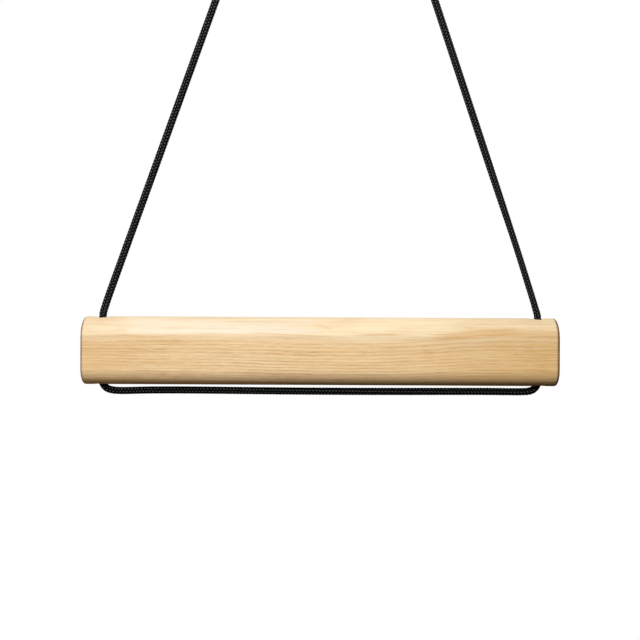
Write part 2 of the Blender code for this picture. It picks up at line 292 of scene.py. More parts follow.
# The floor: its underside and top, its radius, how many sides its disc has, and its two colours
FLOOR_HEIGHTS = (-1.455, -1.450)
FLOOR_RADIUS = 1.25
FLOOR_SIDES = 96
FLOOR_COLOURS = (0.70, 0.70, 0.69), (0.76, 0.76, 0.75)


def smooth_route(points, step):
    """A natural cubic spline through the points, read about every step along it."""
    points = np.array(points, float)
    spans = np.linalg.norm(np.diff(points, axis=0), axis=1)
    width = np.sqrt(spans)
    count = len(points)
    system = np.identity(count)
    bends = np.zeros((count, 3))
    slopes = np.diff(points, axis=0) / width[:, None]
    for i in range(1, count - 1):
        system[i, i - 1 : i + 2] = width[i - 1], 2 * (width[i - 1] + width[i]), width[i]
        bends[i] = 6 * (slopes[i] - slopes[i - 1])
    second = np.linalg.solve(system, bends)
    places = [points[0]]
    for i in range(count - 1):
        pieces = max(1, round(spans[i] / step))
        for share in np.arange(1, pieces + 1) / pieces:
            rest = 1 - share
            bow = second[i] * (rest**3 - rest) + second[i + 1] * (share**3 - share)
            places.append(rest * points[i] + share * points[i + 1] + bow * width[i] ** 2 / 6)
    return np.array(places)


def strand_frame(side):
    """Where a strand leaves the bar's top, and its directions up along it, across and out."""
    lean = LEANS[side]
    foot = np.array((side * (CORD_X + MOUTH_CURVES[side][0][1]), 0, BAR_TOP))
    up = np.array((-side * math.sin(lean), 0, math.cos(lean)))
    out = np.array((0.0, 1.0, 0.0))
    return foot, up, np.cross(out, up), out


def knot_heights():
    """Heights in the knot: where it meets the strand, its upper end, where its legs part, where it bears."""
    wrap = CORD_DIAMETER + KNOT_GAP
    rise = wrap * (KNOT_WRAPS + 1 / 3) + 2 * WRAP_BASE * wrap
    legs = rise + CORD_DIAMETER
    return -TAIL_LENGTH, rise, legs, legs + EYE_LENGTH - CORD_RADIUS


def knot_route():
    """The cord up through the wraps, round the eye, back down, up again in wraps, and out as a tail."""
    wrap = CORD_DIAMETER + KNOT_GAP
    inner = wrap / math.sqrt(3)
    seam, rise, legs, _ = knot_heights()
    turned = 2 * math.pi * KNOT_WRAPS + TAIL_ANGLE - LEG_ANGLE

    def wrap_radius(angle):
        """The wraps go round three inner cords, so they lie closest between two of them."""
        near, far = wrap + inner / 2, wrap + inner
        return (near + far) / 2 + (far - near) / 2 * math.cos(3 * (angle - TAIL_ANGLE))

    def place(angle, radius, height):
        return (wrap / 2 + radius * math.cos(angle), inner / 2 + radius * math.sin(angle), height)

    def turn(start, direction, height_of):
        places = []
        for degrees, share, height in KNOT_TURN:
            angle = start + direction * math.radians(degrees)
            radius = inner + (wrap_radius(angle) - inner) * share
            places.append(place(angle, radius, height_of(height * wrap)))
        return places

    strand_up = [(0, 0, height) for height in np.linspace(seam, legs, CORE_POINTS)]
    half = (EYE_WIDTH + CORD_DIAMETER) / 2
    middle = wrap / 2
    rising = [(middle - max(half * out, middle), 0, legs + EYE_LENGTH * up) for out, up in EYE_SHAPE]
    top = [(middle, 0, legs + EYE_LENGTH)]
    falling = [(2 * middle - x, y, z) for x, y, z in reversed(rising)]
    leg_down = [(wrap, 0, height) for height in np.linspace(legs, 0, LEG_POINTS)]
    steps = round((turned - 2 * WRAPS_FROM) / WRAP_STEP)
    coil = []
    for i in range(steps + 1):
        angle = WRAPS_FROM + (turned - 2 * WRAPS_FROM) * i / steps
        height = wrap * (WRAP_BASE + angle / (2 * math.pi))
        coil.append(place(LEG_ANGLE + angle, wrap_radius(LEG_ANGLE + angle), height))
    turn_out = turn(LEG_ANGLE, 1, lambda height: height)
    turn_in = turn(LEG_ANGLE + turned, -1, lambda height: rise - height)[::-1]
    tail_x, tail_y, _ = place(TAIL_ANGLE, inner, 0)
    tail = [(tail_x, tail_y, height) for height in np.linspace(rise, -CORD_DIAMETER, LEG_POINTS)]
    for share, splay in TAIL_SPLAY:
        tail.append((tail_x + splay / 2, tail_y + splay, -CORD_DIAMETER - TAIL_LENGTH * share))
    return strand_up + rising + top + falling + leg_down + turn_out + coil + turn_in + tail


def strand_route(side):
    """From the seam inside the hole up through the mouth and the strand, round the knot and to its tail."""
    foot, up, across, out = strand_frame(side)
    bearing = knot_heights()[3]
    zero = foot + up * (HANG_DROP / math.cos(LEANS[side]) - bearing)
    seam_x = HOLE_X - HOLE_RADIUS + CLEARANCE + RUN_CROWN
    hole = [(side * seam_x, 0, BAR_TOP - depth) for depth in HOLE_DEPTHS]
    bend = MOUTH_CURVES[side]
    mouth = [foot + up * (height / up[2]) + np.array((-side * inset, 0, 0)) for height, inset in bend]
    knot = [zero + across * x + out * y + up * z for x, y, z in knot_route()]
    free = np.linalg.norm(knot[0] - foot)
    straight = [foot + up * (free * share) for share in STRAIGHT_SHARES]
    return hole + mouth + straight + knot


def run_end(side):
    """From the seam down the hole, round its lower lip and out to where the run is level."""
    gap = RUN_END_GAPS[side]
    lip = np.array((HOLE_X - HOLE_RADIUS - MOUTH_RADIUS, 0, BAR_BOTTOM + MOUTH_RADIUS))
    close = MOUTH_RADIUS + CLEARANCE + RUN_CROWN
    slack = gap - CLEARANCE
    top = BAR_TOP - CORD_RADIUS - CLEARANCE
    heights = (BAR_TOP - SEAM_DEPTH, (top + lip[2]) / 2, lip[2] + CORD_RADIUS)
    points = [(lip[0] + close, 0, height) for height in heights]
    for degrees in LIP_ANGLES:
        radius = close + slack * LIP_SLACK_SHARE * degrees / 90
        turn = math.radians(degrees)
        points.append((lip[0] + radius * math.cos(turn), 0, lip[2] - radius * math.sin(turn)))
    points.append((CORD_X - LEVEL_AFTER, 0, BAR_BOTTOM - CORD_RADIUS - gap))
    return [np.array((side * x, y, z)) for x, y, z in points]


def run_route():
    """Down the left hole, across under the bar and up the right hole."""
    across = [np.array((share * CORD_X, 0, BAR_BOTTOM - CORD_RADIUS - gap)) for share, gap in RUN_GAPS]
    return run_end(-1) + across + run_end(1)[::-1]


def even_points(route):
    """The route's smooth curve cut into equal steps, about STEPS to the braid's repeat, and its length."""
    fine = smooth_route(route, FINE_STEP)
    along = np.concatenate([[0], np.cumsum(np.linalg.norm(np.diff(fine, axis=0), axis=1))])
    count = round(along[-1] / (BRAID_PITCH / STEPS))
    places = np.linspace(0, along[-1], count + 1)
    return np.column_stack([np.interp(places, along, fine[:, k]) for k in range(3)]), along[-1]


def carried_frames(points):
    """Two directions square to the curve at each point, carried along it without twist from -Y."""
    tangents = np.gradient(points, axis=0)
    tangents /= np.linalg.norm(tangents, axis=1)[:, None]
    first = np.empty_like(points)
    start = np.array((0.0, -1.0, 0.0))
    for i, tangent in enumerate(tangents):
        start = start - tangent * (start @ tangent)
        start /= np.linalg.norm(start)
        first[i] = start
    return first, np.cross(tangents, first)


def float_height(a, b):
    """How high the braid stands at strand coordinates a and b: each yarn goes over two and under two."""
    i, j = math.floor(a), math.floor(b)
    if (i + j) % 4 < 2:
        lateral = a - i
        along = (b - j + (i + j) % 4) / 2
    else:
        lateral = b - j
        along = (a - i + (i + j) % 4 - 2) / 2
    crown = math.sqrt(max(0.0, 1 - (2 * lateral - 1) ** 2))
    return crown * (DIVE_HEIGHT + (1 - DIVE_HEIGHT) * math.sin(math.pi * along) ** FLOAT_POWER)


def height_table():
    """float_height at the mesh's corners, by steps in each direction: the highest of what meets there."""
    table = np.zeros((REPEAT, REPEAT))
    near = 0.02
    for p in range(REPEAT):
        for q in range(REPEAT):
            a, b = p / STEPS, q / STEPS
            table[p, q] = max(float_height(a + u, b + v) for u in (-near, near) for v in (-near, near))
    return table


HEIGHTS = height_table()


def braid_corners(points, crown, first_ring, turns, sealed):
    """The braid's corners: a ring of SIDES round each point, and then the two ends' middles."""
    count = len(points)
    first, second = carried_frames(points)
    rings = np.arange(count)
    side = np.arange(SIDES)
    a = rings[:, None] + first_ring + side[None, :]
    b = side[None, :] - rings[:, None] - first_ring
    radius = np.asarray(crown)[:, None] - BRAID_DEPTH * (1 - HEIGHTS[a % REPEAT, b % REPEAT])
    if sealed:
        step = np.linalg.norm(points[1] - points[0])
        ends = rings if sealed == "start" else count - 1 - rings
        depth = np.clip(1 - (ends + SEAL_START) * step / (CORD_RADIUS * SEAL_REACH), 0, 1)
        radius = radius * np.sqrt(1 - depth**2)[:, None]
    angle = 2 * math.pi * side[None, :] / SIDES + np.asarray(turns)[:, None] - PATTERN_START
    around = first[:, None] * np.cos(angle)[..., None] + second[:, None] * np.sin(angle)[..., None]
    verts = points[:, None] + around * radius[..., None]
    return [tuple(v) for v in verts.reshape(-1, 3)] + [tuple(points[0]), tuple(points[-1])]


def braid_faces(count, first_ring):
    """The faces between count rings and over the two ends, and each face corner's strand coordinates."""
    faces, coords = [], []
    low_end, high_end = count * SIDES, count * SIDES + 1
    nudge = 0.01

    def corner(ring, m):
        return ring * SIDES + m % SIDES

    def strand(ring, m):
        k = ring + first_ring
        return ((m + k) / STEPS, (m - k) / STEPS)

    def add(*places):
        faces.append([corner(*place) for place in places])
        coords.extend(strand(*place) for place in places)

    for r in range(count - 1):
        k = r + first_ring
        for m in range(SIDES):
            yarns = math.floor((m + k + 1 + nudge) / STEPS) + math.floor((m - k + nudge) / STEPS)
            p, q, s, t = (r, m), (r, m + 1), (r + 1, m + 1), (r + 1, m)
            if yarns % 4 < 2:
                add(p, q, t)
                add(q, s, t)
            else:
                add(p, q, s)
                add(p, s, t)
    for m in range(SIDES):
        faces.append([low_end, corner(0, m + 1), corner(0, m)])
        coords.extend([strand(0, m), strand(0, m + 1), strand(0, m)])
        faces.append([high_end, corner(count - 1, m), corner(count - 1, m + 1)])
        coords.extend([strand(count - 1, m), strand(count - 1, m), strand(count - 1, m + 1)])
    return faces, coords


def braided_tube(name, points, crown, first_ring, turns, material, sealed=None):
    """A closed mesh of the braid along the points.

    crown is the radius over the yarns, ring by ring. first_ring counts rings from the cord's one end, so
    that the pattern runs on from piece to piece. turns says for each ring how far the pattern is turned
    round the cord. sealed is "start" or "end" where a melted round end closes the tube.
    """
    corners = braid_corners(points, crown, first_ring, turns, sealed)
    faces, coords = braid_faces(len(points), first_ring)
    mesh = bpy.data.meshes.new(name)
    mesh.from_pydata(corners, [], faces)
    layer = mesh.uv_layers.new(name="strands")
    layer.data.foreach_set("uv", np.array(coords, np.float32).ravel())
    mesh.shade_smooth()
    mesh.materials.append(material)
    mesh.update()
    obj = bpy.data.objects.new(name, mesh)
    bpy.context.scene.collection.objects.link(obj)
    return obj


def srgb(red, green, blue):
    """A colour as a picture's 0 to 255 values, in the renderer's linear light."""
    values = (red, green, blue)
    return tuple(((v / 255 + 0.055) / 1.055) ** 2.4 if v > 10 else v / 255 / 12.92 for v in values)


class Nodes:
    """A short way to write a material's nodes: a call adds what it needs and returns the last output."""

    def __init__(self, name):
        self.material = bpy.data.materials.new(name)
        self.material.use_nodes = True
        self.tree = self.material.node_tree
        self.shader = self.tree.nodes["Principled BSDF"]

    def join(self, value, socket):
        if isinstance(value, bpy.types.NodeSocket):
            self.tree.links.new(value, socket)
        else:
            socket.default_value = value

    def add(self, kind, values, **settings):
        node = self.tree.nodes.new(kind)
        for key, value in settings.items():
            setattr(node, key, value)
        for key, value in values.items():
            self.join(value, node.inputs[key])
        return node

    def math(self, operation, a, b=0.0, c=0.0, clamp=False):
        node = self.add("ShaderNodeMath", {0: a, 1: b, 2: c}, operation=operation, use_clamp=clamp)
        return node.outputs[0]

    def product(self, first, *others, clamp=False):
        """The values multiplied together. clamp holds the last product between 0 and 1."""
        for value in others[:-1]:
            first = self.math("MULTIPLY", first, value)
        return self.math("MULTIPLY", first, others[-1], clamp=clamp)

    def total(self, first, *others):
        for value in others:
            first = self.math("ADD", first, value)
        return first

    def linear(self, value, slope, start):
        """start and slope times the value."""
        return self.math("MULTIPLY_ADD", value, slope, start)

    def vector(self, operation, a, b=(0, 0, 0)):
        return self.add("ShaderNodeVectorMath", {0: a, 1: b}, operation=operation).outputs[0]

    def combine(self, x, y, z):
        return self.add("ShaderNodeCombineXYZ", {0: x, 1: y, 2: z}).outputs[0]

    def split(self, vector):
        return self.add("ShaderNodeSeparateXYZ", {0: vector}).outputs

    def noise(self, vector, scale=1.0, detail=2.0, roughness=0.5, kind="3D"):
        values = {"Scale": scale, "Detail": detail, "Roughness": roughness}
        values["W" if kind == "1D" else "Vector"] = vector
        return self.add("ShaderNodeTexNoise", values, noise_dimensions=kind).outputs[0]

    def ease(self, value, low, high, to_low=0.0, to_high=1.0):
        """A smooth step from to_low to to_high as the value goes from low to high."""
        values = {"Value": value, "From Min": low, "From Max": high, "To Min": to_low, "To Max": to_high}
        return self.add("ShaderNodeMapRange", values, interpolation_type="SMOOTHSTEP").outputs[0]

    def ramp(self, value, stops):
        node = self.add("ShaderNodeValToRGB", {0: value})
        band = node.color_ramp
        while len(band.elements) < len(stops):
            band.elements.new(0.5)
        for element, (place, colour) in zip(band.elements, stops):
            element.position = place
            element.color = (*colour, 1.0)
        return node.outputs[0]

    def mix(self, share, a, b):
        """The colour a with a share of b. A colour is a socket or three numbers."""
        node = self.tree.nodes.new("ShaderNodeMix")
        node.data_type = "RGBA"
        self.join(share, node.inputs[0])
        self.join(a if not isinstance(a, tuple) else (*a, 1.0), node.inputs[6])
        self.join(b if not isinstance(b, tuple) else (*b, 1.0), node.inputs[7])
        return node.outputs[2]

    def bump(self, height, strength, distance):
        values = {"Strength": strength, "Distance": distance, "Height": height}
        self.join(self.add("ShaderNodeBump", values).outputs[0], self.shader.inputs["Normal"])


def braid_material():
    """Black polyester: three bundles of filaments in each yarn, with a dull gloss on the yarns' crowns."""
    n = Nodes("black_braid")
    a, b, _ = n.split(n.add("ShaderNodeUVMap", {}, uv_map="strands").outputs[0])
    i, j = n.math("FLOOR", a), n.math("FLOOR", b)
    fa, fb = n.math("SUBTRACT", a, i), n.math("SUBTRACT", b, j)
    phase = n.math("FLOORED_MODULO", n.total(i, j), 4.0)
    over = n.math("LESS_THAN", phase, 1.5)
    under = n.math("SUBTRACT", 1.0, over)

    def pick(if_over, if_under):
        """One value for the yarns that run one way, another for those that run the other way."""
        return n.total(n.product(if_over, over), n.product(if_under, under))

    lateral, along = pick(fa, fb), pick(b, a)
    edge = n.math("ABSOLUTE", n.linear(lateral, 2.0, -1.0))
    crown = n.ease(edge, 0.15, 0.85, 1.0, 0.0)
    half = n.math("FLOORED_MODULO", phase, 2.0)
    floated = pick(n.total(fb, half), n.total(fa, half))
    float_share = n.math("SINE", n.product(floated, math.pi / 2))
    bundle = n.math("ABSOLUTE", n.math("SINE", n.product(lateral, 3 * math.pi)))
    filament = n.math("SINE", n.total(n.product(along, 26.0), n.product(lateral, 40.0)))
    fuzz = n.noise(n.combine(n.product(a, 9.0), n.product(b, 9.0), 0.0), 1.0, 4.0, 0.6)
    relief = n.total(n.product(bundle, 0.55), n.product(filament, 0.10), n.product(fuzz, 0.35))
    n.bump(relief, 0.8, 0.00012)

    # Painted sheen and shade: the base colour is grey on the yarns' crowns and black in the gaps between them
    # and where a yarn dives under
    shade = n.product(n.math("POWER", crown, 2.4), n.math("POWER", float_share, 2.0))
    shade = n.product(shade, n.linear(bundle, 0.3, 0.7), n.linear(fuzz, 0.8, 0.6), clamp=True)
    # Painted shade: the run under the bar is darker between its yarns' crowns, standing in for the bar's
    # shadow over it
    height = n.split(n.add("ShaderNodeTexCoord", {}).outputs["Object"])[2]
    shade = n.math("POWER", shade, n.ease(height, BAR_BOTTOM, BAR_BOTTOM + 0.01, 1.8, 1.0))
    n.join(n.mix(shade, srgb(0, 0, 0), srgb(98, 103, 100)), n.shader.inputs["Base Color"])
    n.join(n.ease(shade, 0.0, 0.5, 0.85, 0.5), n.shader.inputs["Roughness"])
    n.shader.inputs["Specular IOR Level"].default_value = 0.02
    return n.material


CREAM = srgb(236, 222, 196)
TAN = srgb(216, 170, 108)
LOW_PALE = srgb(243, 218, 176)
BRIGHT = srgb(247, 220, 176)
LATEWOOD = srgb(190, 144, 90)
DARK_FIBRE = srgb(180, 134, 82)
PALE_FIBRE = srgb(252, 236, 200)
PORE = srgb(158, 112, 66)
# The ends' rims: end grain darkened by painted shade, the right more than the left, away from the key light
LEFT_RIM = srgb(150, 114, 76)
RIGHT_RIM = srgb(126, 93, 62)
RIM_LINE = srgb(92, 64, 40)
END_WOOD = srgb(236, 204, 158)
END_LINE = srgb(190, 148, 102)
END_PORE = srgb(104, 72, 44)


class Ash(Nodes):
    """Oiled ash, in mm from the face's middle: rings sawn so that they lie level, with a pale band above,
    partly paler wood and partly painted sheen.

    A stretched noise's first three numbers say how quickly it changes along, into and up the bar, per mm.
    """

    def __init__(self):
        super().__init__("ash")
        where = self.add("ShaderNodeTexCoord", {}).outputs["Object"]
        from_middle = self.vector("SUBTRACT", where, (0.0, FRONT, BAR_Z))
        self.mm = self.vector("MULTIPLY", from_middle, (1000.0, 1000.0, 1000.0))
        self.x, self.y, self.z = self.split(self.mm)
        self.fibre = self.stretched(0.018, 1.2, 1.2, 4.0, 0.65)
        self.bend_grain()
        self.grow_rings()
        self.lay_bands()
        self.lay_grain()
        self.lay_ends()
        self.finish_surface()

    def stretched(self, along, depth, height, detail=2.0, roughness=0.5):
        return self.noise(self.vector("MULTIPLY", self.mm, (along, depth, height)), 1.0, detail, roughness)

    def lay(self, share, colour):
        """Lays a share of a colour over what is there."""
        self.colour = self.mix(share, self.colour, colour)

    def streak(self, x_from, x_to, z_from, z_to, half, soft):
        """Where a streak lies: its ends run out along the grain."""
        slope = (z_to - z_from) / (x_to - x_from)
        middle = self.linear(self.x, slope, z_from - slope * x_from)
        height = self.total(self.z, self.product(self.wander, 0.4))
        off = self.math("ABSOLUTE", self.math("SUBTRACT", height, middle))
        starts = self.ease(self.ragged, x_from - soft, x_from + soft)
        stops = self.ease(self.ragged, x_to + soft, x_to - soft)
        return self.product(self.ease(off, half * 0.45, half * 1.35, 1.0, 0.0), self.product(starts, stops))

    def lay_streaks(self, streaks, colour):
        for strength, *place in streaks:
            self.lay(self.product(self.streak(*place), strength), colour)

    def bend_grain(self):
        """The heights that the grain follows: they wander, sag past the middle and bend at the left."""
        slow = self.stretched(0.008, 0.03, 0.05)
        quick = self.stretched(0.035, 0.12, 0.3)
        self.wander = self.total(self.linear(slow, 2.4, -1.2), self.linear(quick, 0.9, -0.45))
        sets_in = self.ease(self.x, -110.0, 50.0, 0.0, 2.6)
        turns_back = self.ease(self.x, 60.0, 150.0, 1.0, -0.4)
        sag = self.product(sets_in, turns_back, self.ease(self.z, 20.0, 6.0))
        at_left = self.ease(self.x, -205.0, -150.0, 1.3, -0.9)
        fades = self.ease(self.x, -90.0, 0.0, 1.0, 0.0)
        lift = self.product(at_left, fades, self.ease(self.z, 0.0, 12.0))
        self.level = self.total(self.z, self.total(sag, lift), self.wander)
        self.ragged = self.total(self.x, self.linear(self.stretched(0.006, 0.6, 0.7, 3.0), 60.0, -30.0))

    def grow_rings(self):
        """Rings round the pith: season is the share of a year's ring, latewood its dark, tint its shade."""
        deep = self.total(self.product(self.y, -0.3), self.ease(self.x, -30.0, 170.0, *PITH_DEPTHS))
        high = self.math("SUBTRACT", self.level, PITH_HEIGHT)
        shell = self.math("SQRT", self.total(self.product(high, high), self.product(deep, deep)))
        uneven = self.noise(self.product(shell, 0.3), kind="1D")
        ring = self.total(self.math("DIVIDE", shell, RING_WIDTH), self.product(uneven, 0.9))
        self.season, year = self.math("FRACT", ring), self.math("FLOOR", ring)
        self.tint = self.add("ShaderNodeTexWhiteNoise", {"W": year}, noise_dimensions="1D").outputs[0]
        self.latewood = self.ramp(self.season, [(place, (dark,) * 3) for place, dark in LATEWOOD_SHARES])

    def lay_bands(self):
        """The broad colours: the face, a pale band above that is partly paler wood and partly painted sheen,
        streaks and mottling of other wood, and one streak of painted light low down.
        """
        along = self.linear(self.x, 1 / (1000 * BAR_LENGTH), 0.5)
        self.colour = self.ramp(along, [(place, srgb(*colour)) for place, colour in BASE_COLOURS])
        pale = self.ramp(along, [(place, srgb(*colour)) for place, colour in PALE_COLOURS])
        at_left = self.ease(self.x, -215.0, -150.0, 0.72, 0.95)
        upper = self.product(at_left, self.ease(self.x, 120.0, 205.0, 1.0, 0.85))
        # Painted sheen: the pale band lightens the upper face and its top rounding, partly as paler wood and
        # partly in place of the rounding's highlight
        self.lay(self.product(self.ease(self.level, 4.0, 19.0), upper), pale)
        self.lay_streaks(LOW_STREAKS, LOW_PALE)
        self.band = self.streak(*CREAM_BAND)
        self.lay(self.product(self.band, self.linear(self.streak(*NOTCH), -0.8, 1.0)), CREAM)
        self.lay_streaks(TAN_STREAKS, TAN)
        self.lay_streaks(PALE_STREAKS, pale)
        # The first of these is painted light on the lower rounding
        self.lay_streaks(BRIGHT_STREAKS, BRIGHT)
        self.lay(self.ease(self.stretched(0.012, 0.4, 0.5, 3.0), 0.32, 0.72, 0.0, 0.22), TAN)

    def lay_grain(self):
        """Ring lines, fibres, pores and flecks, quieter in the cream band, up high and towards the ends."""
        quiet = self.product(self.linear(self.band, -0.65, 1.0), self.ease(self.level, 7.0, 13.5, 1.0, 0.4))
        at_left = self.ease(self.x, -208.0, -150.0, 0.6, 1.0)
        at_right = self.ease(self.x, 20.0, 120.0, 1.0, 0.7)
        quiet = self.product(quiet, self.product(at_left, at_right))
        self.lay(self.product(self.tint, 0.16, quiet), TAN)
        strength = self.product(self.ease(self.stretched(0.014, 0.04, 0.06), 0.32, 0.66, 0.5, 1.0), quiet)
        self.lay(self.product(self.latewood, strength, 0.58), LATEWOOD)
        calm = self.linear(self.band, -0.5, 1.0)
        self.lay(self.product(self.ease(self.fibre, 0.5, 0.7), 0.30, calm), DARK_FIBRE)
        self.lay(self.product(self.ease(self.fibre, 0.5, 0.3), 0.42, calm), PALE_FIBRE)
        dash = self.stretched(0.09, 2.2, 2.4, 2.0, 0.6)
        self.pores = self.product(self.ease(dash, 0.54, 0.68), self.ease(self.season, 0.0, 0.5, 1.0, 0.4))
        self.lay(self.product(self.pores, quiet, 0.58), PORE)
        self.lay(self.product(self.ease(dash, 0.46, 0.32), quiet, 0.45), PALE_FIBRE)

    def lay_ends(self):
        """End grain on the ends' flats, and browner end grain round their rims with painted shade, darker at
        the right end.
        """
        out = self.total(self.math("ABSOLUTE", self.x), self.ease(self.x, -100.0, 100.0, 0.0, 0.6))
        self.end = self.ease(out, 207.3, 209.4)
        facing = self.split(self.add("ShaderNodeNewGeometry", {}).outputs["Normal"])[0]
        flat = self.ease(self.math("ABSOLUTE", facing), 0.9, 0.995)
        # Painted shade: the rims are darker than the flats, the right one more
        shaded_rim = self.mix(self.ease(self.x, -100.0, 100.0), LEFT_RIM, RIGHT_RIM)
        cut = self.mix(flat, shaded_rim, END_WOOD)
        cut = self.mix(self.product(self.latewood, 0.6), cut, self.mix(flat, RIM_LINE, END_LINE))
        dots = self.ease(self.stretched(0.3, 2.6, 2.6, 3.0, 0.6), 0.55, 0.68)
        cut = self.mix(self.product(dots, 0.5), cut, END_PORE)
        self.lay(self.end, cut)

    def finish_surface(self):
        """A satin of oil, duller over pores and end grain, with the grain standing a little proud."""
        inputs = self.shader.inputs
        self.join(self.colour, inputs["Base Color"])
        rough = self.total(self.ease(self.fibre, 0.3, 0.7, 0.47, 0.57), self.product(self.end, 0.2))
        self.join(self.total(rough, self.product(self.pores, 0.2)), inputs["Roughness"])
        inputs["Specular IOR Level"].default_value = 0.4
        relief = self.total(self.product(self.fibre, 0.5), self.product(self.latewood, -0.25))
        self.bump(self.math("SUBTRACT", relief, self.product(self.pores, 0.8)), 0.5, 0.0001)


def quarter(start, steps):
    """The angles of a quarter turn from start degrees, in radians."""
    return [math.radians(start + 90 * i / steps) for i in range(steps + 1)]


def section(inset):
    """The bar's outline seen from its end, drawn in by inset, as points (y, z)."""
    top, bottom = (TOP_RADIUS, FLAT_TOP, TOP_STEPS), (BOTTOM_RADIUS, FLAT_BOTTOM, BOTTOM_STEPS)
    corners = [
        (1, top, 0, None),
        (-1, top, 90, FLAT_BOTTOM),
        (-1, bottom, 180, None),
        (1, bottom, 270, FLAT_TOP),
    ]
    outline = []
    for side, (radius, z, steps), start, flat_to in corners:
        y = side * (BAR_THICKNESS / 2 - radius)
        for turn in quarter(start, steps):
            across, up = (radius - inset) * math.cos(turn), (radius - inset) * math.sin(turn)
            outline.append((BAR_Y + y + across, z + up))
        if flat_to is not None:
            flat_y, flat_from = outline[-1]
            rise = flat_to - flat_from
            outline += [(flat_y, flat_from + rise * i / FLAT_STEPS) for i in range(1, FLAT_STEPS)]
    return outline


def loft(name, rings, material=None):
    """A closed mesh through rings of as many points each, with a flat face over each end."""
    size = len(rings[0])
    verts = [tuple(point) for ring in rings for point in ring]
    faces = [list(range(size))[::-1], [(len(rings) - 1) * size + i for i in range(size)]]
    for r in range(len(rings) - 1):
        for i in range(size):
            k = (i + 1) % size
            faces.append([r * size + i, r * size + k, (r + 1) * size + k, (r + 1) * size + i])
    mesh = bpy.data.meshes.new(name)
    mesh.from_pydata(verts, [], faces)
    shape = bmesh.new()
    shape.from_mesh(mesh)
    bmesh.ops.recalc_face_normals(shape, faces=shape.faces)
    shape.to_mesh(mesh)
    shape.free()
    if material:
        mesh.materials.append(material)
    obj = bpy.data.objects.new(name, mesh)
    bpy.context.scene.collection.objects.link(obj)
    return obj


def bar_blank(material):
    """The bar without its holes and groove, in steps small enough for even shading."""
    half = BAR_LENGTH / 2
    ends = []
    for turn in quarter(0, END_STEPS):
        ends.append((END_RADIUS * (1 - math.cos(turn)), END_RADIUS * (1 - math.sin(turn))))
    stations = [(-half + along, inset) for along, inset in ends]
    inner = half - END_RADIUS
    count = round(2 * inner / LENGTH_STEP)
    stations += [(-inner + 2 * inner * i / count, 0.0) for i in range(1, count)]
    stations += [(-x, inset) for x, inset in reversed(stations[: len(ends)])]
    return loft("bar", [[(x, y, z) for y, z in section(inset)] for x, inset in stations], material)


def groove_cutter():
    """The finger groove with its rounded lip and floor, lofted from behind the bar to its floor."""
    radius, reach = GROOVE_HEIGHT / 2, (GROOVE_LENGTH - GROOVE_HEIGHT) / 2
    lip, floor = GROOVE_LIP_RADIUS, GROOVE_FLOOR_RADIUS
    profile = [(lip, -lip)]
    profile += [(lip * (1 - math.sin(turn)), lip * (1 - math.cos(turn))) for turn in quarter(0, LIP_STEPS)]
    for turn in quarter(0, FLOOR_STEPS):
        profile.append((-floor * (1 - math.cos(turn)), GROOVE_DEPTH - floor * (1 - math.sin(turn))))
    rings = []
    for offset, depth in profile:
        ring = []
        for sign in (1, -1):
            for i in range(GROOVE_END_STEPS + 1):
                turn = math.radians(-90 * sign + 180 * i / GROOVE_END_STEPS)
                x = sign * reach + (radius + offset) * math.cos(turn)
                ring.append((x, BACK - depth, GROOVE_Z + (radius + offset) * math.sin(turn)))
        rings.append(ring)
    return loft("groove_cutter", rings)


def hole_cutter(name, x):
    """A cord hole with its two flared mouths, turned about the hole's axis."""
    flare = HOLE_RADIUS + MOUTH_RADIUS
    profile = [(flare, BAR_TOP + MOUTH_RADIUS)]
    for start, centre in ((90, BAR_TOP - MOUTH_RADIUS), (180, BAR_BOTTOM + MOUTH_RADIUS)):
        for turn in quarter(start, MOUTH_STEPS):
            profile.append((flare + MOUTH_RADIUS * math.cos(turn), centre + MOUTH_RADIUS * math.sin(turn)))
    profile.append((flare, BAR_BOTTOM - MOUTH_RADIUS))
    turns = [2 * math.pi * i / HOLE_SIDES for i in range(HOLE_SIDES)]
    rings = []
    for radius, height in profile:
        rings.append([(x + radius * math.cos(turn), radius * math.sin(turn), height) for turn in turns])
    return loft(name, rings)


def make_bar(material):
    """The bar with its groove and flared holes, its cut edges eased as by sanding."""
    bar = bar_blank(material)
    cutters = [groove_cutter(), hole_cutter("left_cutter", -HOLE_X), hole_cutter("right_cutter", HOLE_X)]
    for cutter in cutters:
        cut = bar.modifiers.new(cutter.name, "BOOLEAN")
        cut.operation = "DIFFERENCE"
        cut.solver = "EXACT"
        cut.object = cutter
    sanded = bar.modifiers.new("sanded_edges", "BEVEL")
    sanded.width = SANDED_WIDTH
    sanded.segments = SANDED_STEPS
    sanded.limit_method = "ANGLE"
    sanded.angle_limit = SANDED_ANGLE
    bpy.context.view_layer.update()
    graph = bpy.context.evaluated_depsgraph_get()
    mesh = bpy.data.meshes.new_from_object(bar.evaluated_get(graph))
    bar.modifiers.clear()
    bar.data = mesh
    for cutter in cutters:
        bpy.data.objects.remove(cutter, do_unlink=True)
    mesh.shade_smooth()
    even = bar.modifiers.new("even_shading", "WEIGHTED_NORMAL")
    even.keep_sharp = False
    even.weight = SHADING_WEIGHT
    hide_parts("wooden_bar")
    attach(bar, "bar")


def turn_of(table, places):
    """The pattern's turn in radians at each place, read from a table in degrees."""
    return np.radians(np.interp(places, *zip(*table)))


